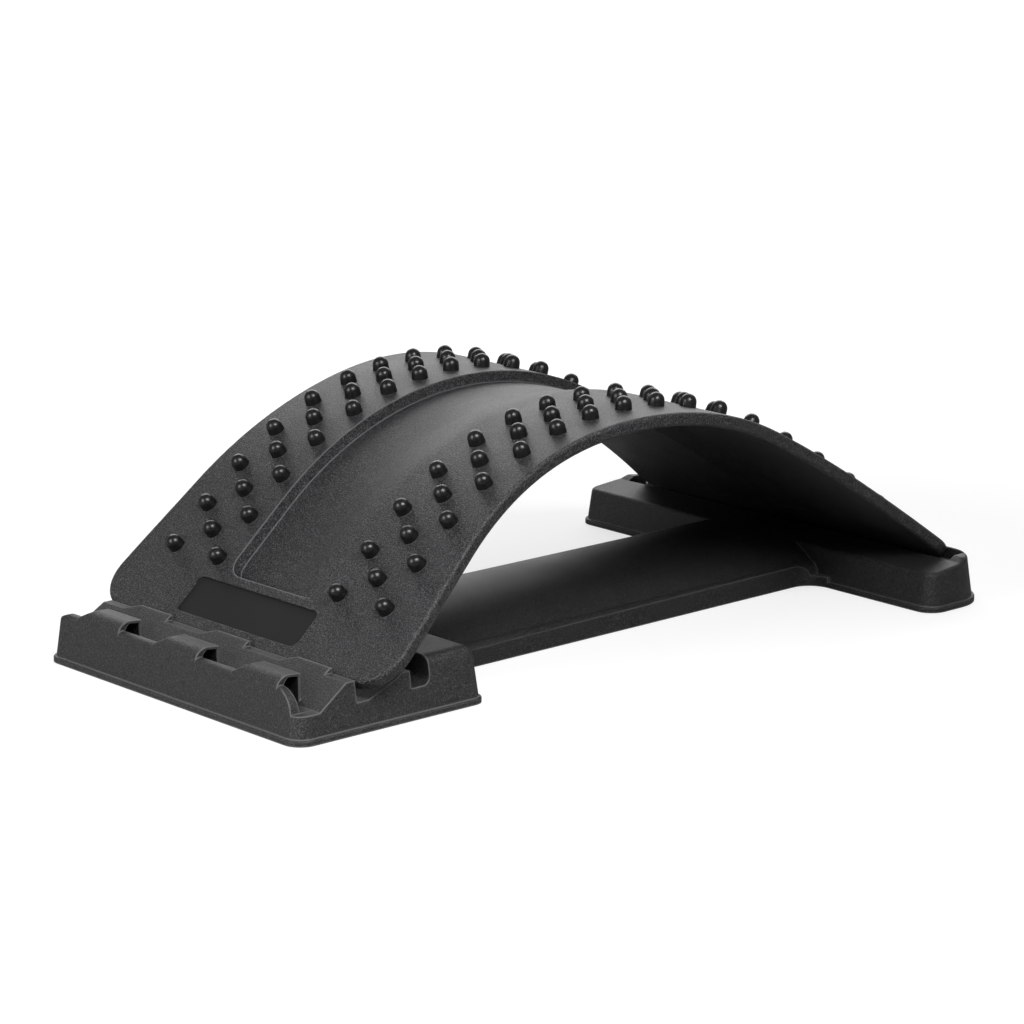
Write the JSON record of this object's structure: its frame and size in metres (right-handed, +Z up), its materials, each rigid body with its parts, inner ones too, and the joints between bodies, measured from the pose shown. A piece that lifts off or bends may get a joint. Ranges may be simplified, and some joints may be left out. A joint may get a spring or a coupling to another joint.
{
  "type": "arched back stretcher",
  "caption": "Moulded black back stretcher with an arched nubbed board, an adjuster foot with notch rows, a beam and a wide far foot.",
  "frame": {"origin": "centre of the part's bounding box, on the floor", "axes": "+X from the adjuster foot to the far foot, +Z up"},
  "size_m": [0.3852, 0.237, 0.1153],
  "materials": {
    "board_plastic": "fine pebbled grain",
    "nub_plastic": "smooth satin",
    "base_plastic": "fine pebbled grain",
    "pad_rubber": "matt"
  },
  "bodies": {
    "base": {"adjuster_block": "base_plastic", "base_frame": "base_plastic", "near_pads": "pad_rubber", "far_pads": "pad_rubber"},
    "arch": {"arch_board": "board_plastic", "nub_left_01": "nub_plastic", "nub_left_02": "nub_plastic", "nub_left_03": "nub_plastic", "nub_left_04": "nub_plastic", "nub_left_05": "nub_plastic", "nub_left_06": "nub_plastic", "nub_left_07": "nub_plastic", "nub_left_08": "nub_plastic", "nub_left_09": "nub_plastic", "nub_left_10": "nub_plastic", "nub_left_11": "nub_plastic", "nub_left_12": "nub_plastic", "nub_left_13": "nub_plastic", "nub_left_14": "nub_plastic", "nub_left_15": "nub_plastic", "nub_left_16": "nub_plastic", "nub_right_01": "nub_plastic", "nub_right_02": "nub_plastic", "nub_right_03": "nub_plastic", "nub_right_04": "nub_plastic", "nub_right_05": "nub_plastic", "nub_right_06": "nub_plastic", "nub_right_07": "nub_plastic", "nub_right_08": "nub_plastic", "nub_right_09": "nub_plastic", "nub_right_10": "nub_plastic", "nub_right_11": "nub_plastic", "nub_right_12": "nub_plastic", "nub_right_13": "nub_plastic", "nub_right_14": "nub_plastic", "nub_right_15": "nub_plastic", "nub_right_16": "nub_plastic"}
  },
  "joints": [
    {"name": "arch_lift", "type": "hinge", "parent": "base", "child": "arch", "pos_m": [0.18237, 0, 0.0198], "axis": [0, 1, 0], "range_deg": [0, 40]}
  ]
}
